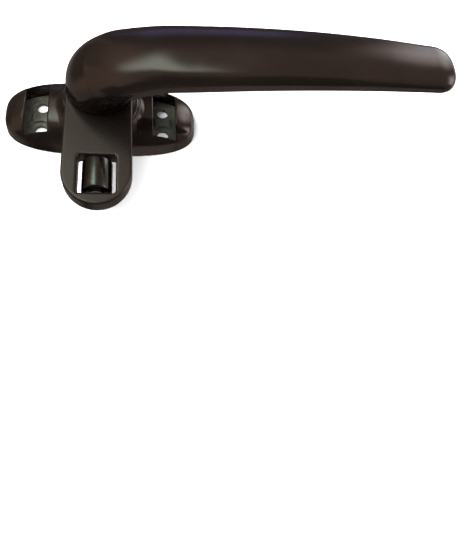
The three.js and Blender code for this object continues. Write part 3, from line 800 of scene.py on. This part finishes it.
def carve(piece, *tools):
    """Cuts closed tool meshes out of a piece, and removes the tools."""
    for tool in tools:
        cut = piece.modifiers.new("cut", "BOOLEAN")
        cut.object = tool
        cut.operation = "DIFFERENCE"
        cut.solver = "EXACT"
    bpy.context.view_layer.update()
    evaluated = piece.evaluated_get(bpy.context.evaluated_depsgraph_get())
    mesh = bpy.data.meshes.new_from_object(evaluated)
    piece.modifiers.clear()
    piece.data = mesh
    for tool in tools:
        bpy.data.objects.remove(tool)
    mesh.shade_smooth()
    mesh.set_sharp_from_angle(angle=math.radians(35))


SET_LOW, SET_HIGH = box_mm("lever_set_screw")
SET_HOLE_FROM, SET_HOLE_TO, SET_GAP = 3.9, 20, 0.12
SOCKET_GAP = 0.1
set_radius = (SET_HIGH.y - SET_LOW.y) / 2
set_centre_z = (SET_LOW.z + SET_HIGH.z) / 2
set_place = Matrix.Translation((0, 0, set_centre_z)) @ Matrix.Rotation(math.radians(90), 4, "Y")
half_socket = SPINDLE_HIGH.x + SOCKET_GAP
hole_radius = set_radius + SET_GAP
hole_corners = [
    (0, SET_HOLE_FROM),
    (hole_radius, SET_HOLE_FROM),
    (hole_radius, SET_HOLE_TO),
    (0, SET_HOLE_TO),
]
set_hole = turned("set_hole", hole_corners, 0, 64, set_place)
socket_points = np.array(
    [(x, y, z) for x in (-half_socket, half_socket) for y in (-half_socket, half_socket)
     for z in (NECK_BOTTOM - 2, SPINDLE_HIGH.z + 0.3)]
)
socket_faces = [[0, 1, 3, 2], [4, 6, 7, 5], [0, 4, 5, 1], [2, 3, 7, 6], [0, 2, 6, 4], [1, 5, 7, 3]]
socket = mesh_object("spindle_socket", socket_points, socket_faces, smooth=False)
lever = lever_mesh()
carve(lever, set_hole, socket)
finished(lever, "lever", "handle", bronze)


KEY_HALF_WIDTH, KEY_DEPTH = 1.25, 3


def set_screw_field(x, y, z):
    """Set screw along X, with a cut thread, a cup point and a hexagon key hole."""
    height = z - set_centre_z
    axis, angle = np.hypot(y, height), np.arctan2(height, y)
    thread = 0.1 * np.sin(2 * math.pi * x / THREAD_PITCH - angle)
    body = both_round(axis - set_radius + 0.12 + thread, slab(x, SET_LOW.x, SET_HIGH.x), 0.2)
    cup = (axis - 1.3 + (x - SET_LOW.x)) * 0.707
    wedge = (angle + math.pi / 6) % (math.pi / 3) - math.pi / 6
    hexagon = axis * np.cos(wedge) - KEY_HALF_WIDTH
    key_hole = np.maximum(hexagon, SET_HIGH.x - KEY_DEPTH - x)
    return cut_round(cut_round(body, cup, 0.1), key_hole, 0.12)


set_screw = skin("socket_set_screw", set_screw_field, SET_LOW, SET_HIGH, 0.12)
finished(set_screw, "lever_set_screw", "handle", black_steel)

# ---------------------------------------------------------------- floor, light and camera


FLOOR_HALF_SIZE, FLOOR_DROP = 0.9, 0.0001
LIGHT_TARGET = Vector((0.03, 0, 0.0))


def floor():
    """Plain pale floor, just under the base's back. Gloss doesn't show it: it shows the studio instead."""
    size = FLOOR_HALF_SIZE
    corners = [(-size, -size, 0), (size, -size, 0), (size, size, 0), (-size, size, 0)]
    mesh = bpy.data.meshes.new("floor")
    mesh.from_pydata(corners, [], [[0, 1, 2, 3]])
    obj = bpy.data.objects.new("floor", mesh)
    bpy.context.scene.collection.objects.link(obj)
    obj.location.z = -FLOOR_DROP
    obj.visible_glossy = False
    f = Finish("pale_floor")
    f.set(Base_Color=(0.88, 0.88, 0.88, 1), Roughness=0.9, Specular_IOR_Level=0.1)
    mesh.materials.append(f.material)


class Studio:
    """The room's light as seen from the table: soft patches, by azimuth from +X and elevation, in degrees."""

    def __init__(self, name):
        self.world = bpy.data.worlds.new(name)
        self.world.use_nodes = True
        self.nodes, self.links = self.world.node_tree.nodes, self.world.node_tree.links
        self.background = self.nodes["Background"]
        generated = self.nodes.new("ShaderNodeTexCoord").outputs["Generated"]
        x, y, z = self.node("ShaderNodeSeparateXYZ", generated).outputs
        # Azimuth wraps towards -Y, so a patch across that line is given as two halves.
        turned_x = self.maths("MULTIPLY", x, -1.0)
        self.azimuth = self.maths("ARCTAN2", turned_x, y)
        self.elevation = self.maths("ARCSINE", z)
        self.light = None

    def node(self, kind, *inputs):
        node = self.nodes.new(kind)
        for socket, value in zip(node.inputs, inputs):
            if isinstance(value, (int, float)):
                socket.default_value = value
            else:
                self.links.new(value, socket)
        return node

    def maths(self, operation, a, b=0.0):
        node = self.node("ShaderNodeMath", a, b)
        node.operation = operation
        return node.outputs["Value"]

    def step(self, value, edge, soft):
        """Smooth rise from 0 to 1 across an edge."""
        node = self.node("ShaderNodeMapRange", value, edge - soft / 2, edge + soft / 2)
        node.interpolation_type = "SMOOTHSTEP"
        return node.outputs["Result"]

    def within(self, angle, low, high, soft):
        low, high, soft = (math.radians(number) for number in (low, high, soft))
        rise, fall = self.step(angle, low, soft), self.step(angle, high, soft)
        return self.maths("SUBTRACT", rise, fall)

    def patch(self, azimuths, elevations, colour, soft=12.0):
        """Blends the light towards a colour inside a soft rectangle of directions."""
        low, high = (number - 90 for number in azimuths)
        across = self.within(self.azimuth, low, high, soft)
        up = self.within(self.elevation, *elevations, soft)
        share = self.maths("MULTIPLY", across, up)
        mix = self.nodes.new("ShaderNodeMix")
        mix.data_type = "RGBA"
        self.links.new(share, mix.inputs["Factor"])
        mix.inputs["B"].default_value = (*colour, 1.0)
        if isinstance(self.light, tuple):
            mix.inputs["A"].default_value = (*self.light, 1.0)
        else:
            self.links.new(self.light, mix.inputs["A"])
        self.light = mix.outputs["Result"]

    def finish(self, backdrop):
        """What the camera sees past the floor is a plain pale backdrop."""
        mix = self.nodes.new("ShaderNodeMix")
        mix.data_type = "RGBA"
        self.links.new(self.nodes.new("ShaderNodeLightPath").outputs["Is Camera Ray"], mix.inputs["Factor"])
        self.links.new(self.light, mix.inputs["A"])
        mix.inputs["B"].default_value = (*backdrop, 1.0)
        self.links.new(mix.outputs["Result"], self.background.inputs["Color"])
        bpy.context.scene.world = self.world


def softbox(name, place, size, power):
    """Large soft light for the floor and matt surfaces, which gloss doesn't show."""
    light = bpy.data.lights.new(name, "AREA")
    light.shape = "RECTANGLE"
    light.size, light.size_y = size
    light.energy = power
    obj = bpy.data.objects.new(name, light)
    bpy.context.scene.collection.objects.link(obj)
    obj.location = place
    obj.rotation_euler = (LIGHT_TARGET - Vector(place)).to_track_quat("-Z", "Y").to_euler()
    obj.visible_glossy = False


floor()
studio = Studio("studio")
studio.light = (0.29, 0.225, 0.205)  # ceiling
studio.patch((-90, 270), (-91, -8), (0.27, 0.25, 0.245), 8)  # table
studio.patch((112, 201), (-20, 56), (0.50, 0.37, 0.31), 16)  # left wall
studio.patch((118, 152), (-18, 32), (0.24, 0.19, 0.165), 8)  # cupboard on the left, and its dark front
studio.patch((118, 170), (-18, 20), (0.11, 0.09, 0.08), 12)
studio.patch((198, 271), (-10, 76), (0.04, 0.034, 0.032), 9)  # dark side behind the camera
studio.patch((-91, -38), (-10, 76), (0.04, 0.034, 0.032), 9)
studio.patch((196, 216), (34, 62), (0.44, 0.34, 0.29), 9)  # end of the left wall
studio.patch((-42, -10), (-10, 60), (0.20, 0.17, 0.16), 12)
studio.patch((212, 250), (-91, -8), (0.055, 0.045, 0.04), 12)
studio.patch((246, 271), (-60, 28), (0.14, 0.125, 0.125), 16)
studio.patch((246, 271), (-66, -20), (0.36, 0.34, 0.33), 12)  # lit table in front
studio.patch((-91, -50), (-60, -6), (0.42, 0.40, 0.41), 12)
studio.patch((80, 112), (44, 80), (0.36, 0.29, 0.26), 12)  # lighter ceiling by the softbox
studio.patch((64, 116), (-35, 42), (0.10, 0.08, 0.09), 9)  # dark far wall
studio.patch((76, 106), (10, 27), (0.36, 0.33, 0.74), 9)  # blue evening window
studio.patch((41, 57), (2, 35), (2.8, 2.9, 3.15), 15)  # right window
studio.patch((-8, 22), (14, 40), (2.7, 2.7, 3.0), 14)  # bright opening on the right
studio.patch((-12, 44), (-32, 4), (0.95, 0.95, 1.05), 12)  # their light on the table
studio.patch((108, 146), (48, 84), (2.4, 3.15, 3.1), 18)  # softbox, back left
studio.finish((1.0, 1.0, 1.0))
softbox("left_key", (-0.9, 0.35, 1.35), (1.0, 1.0), 58)
softbox("left_fill", (-0.5, -0.6, 1.5), (1.2, 1.2), 34)
softbox("right_fill", (0.9, -0.5, 1.3), (1.2, 1.2), 26)
bpy.context.scene.view_settings.view_transform = "Standard"

camera_data = bpy.data.cameras.new("camera")
camera_data.sensor_width = 36.0
camera_data.lens = 31.66
camera_data.clip_start = 0.005
camera_data.clip_end = 20.0
camera = bpy.data.objects.new("camera", camera_data)
bpy.context.scene.collection.objects.link(camera)
# The photograph's upper view: where its camera stood, and its right, up and back directions as columns.
camera_place = Matrix.Translation((0.01709, -0.12942, 0.16105))
camera_turn = Matrix(((0.9838, 0.0090, -0.1791), (-0.0762, 0.9251, -0.3721), (0.1624, 0.3797, 0.9107)))
camera.matrix_world = camera_place @ camera_turn.to_4x4()
bpy.context.scene.camera = camera
